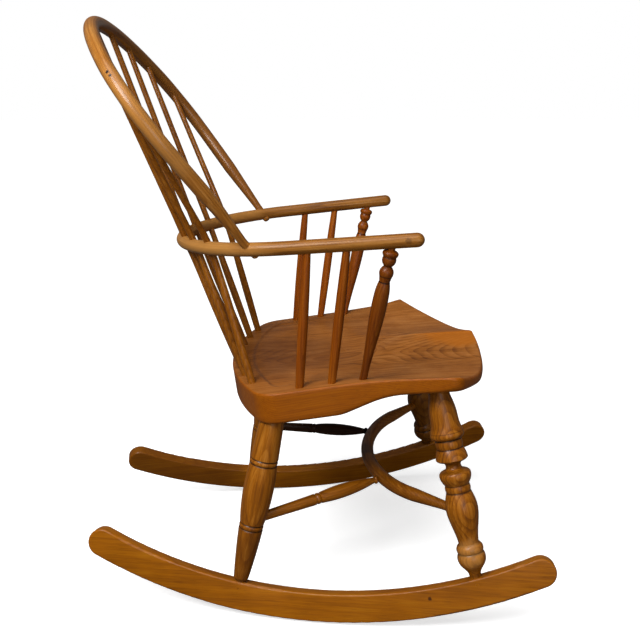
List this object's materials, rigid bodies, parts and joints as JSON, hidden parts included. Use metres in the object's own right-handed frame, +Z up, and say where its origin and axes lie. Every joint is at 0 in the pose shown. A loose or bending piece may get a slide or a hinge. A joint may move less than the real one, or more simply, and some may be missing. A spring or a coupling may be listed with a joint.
{
  "type": "rocking chair",
  "caption": "Double-bow Windsor armchair on rockers: bent hoop back and arm bow over slender spindles, a saddled plank seat, turned splayed legs and a bowed stretcher.",
  "frame": {"origin": "on the floor, under the middle of the chair's bounding box, midway between the rocker tips", "axes": "+Z up; +X towards the sitter's left; the sitter faces -Y, so the hoop back is on the +Y side"},
  "size_m": [0.616, 0.8021, 0.9977],
  "materials": {
    "seat_elm": "semi-gloss varnish over reddish brown elm",
    "bent_wood": "semi-gloss varnish over golden brown bent wood",
    "turned_wood": "semi-gloss varnish over golden brown turned wood",
    "dark_wood": "semi-gloss varnish over dark walnut brown bent wood",
    "rocker_wood": "semi-gloss varnish over golden brown sawn wood",
    "peg_wood": "varnished dark hardwood"
  },
  "bodies": {
    "root": {"seat": "seat_elm", "back_hoop": "bent_wood", "arm_bow": "bent_wood", "hoop_wedges": "peg_wood", "back_spindle_1": "turned_wood", "back_spindle_2": "turned_wood", "back_spindle_3": "turned_wood", "back_spindle_4": "turned_wood", "back_spindle_5": "turned_wood", "back_spindle_6": "turned_wood", "back_spindle_7": "turned_wood", "back_spindle_8": "turned_wood", "arm_stick_rear_left": "turned_wood", "arm_stick_front_left": "turned_wood", "arm_stick_rear_right": "turned_wood", "arm_stick_front_right": "turned_wood", "arm_post_left": "turned_wood", "arm_post_right": "turned_wood", "front_leg_left": "turned_wood", "front_leg_right": "turned_wood", "rear_leg_left": "turned_wood", "rear_leg_right": "turned_wood", "crinoline_stretcher": "dark_wood", "stub_stretcher_left": "turned_wood", "stub_stretcher_right": "turned_wood", "rocker_left": "rocker_wood", "rocker_right": "rocker_wood", "rocker_pegs": "peg_wood"}
  },
  "joints": []
}
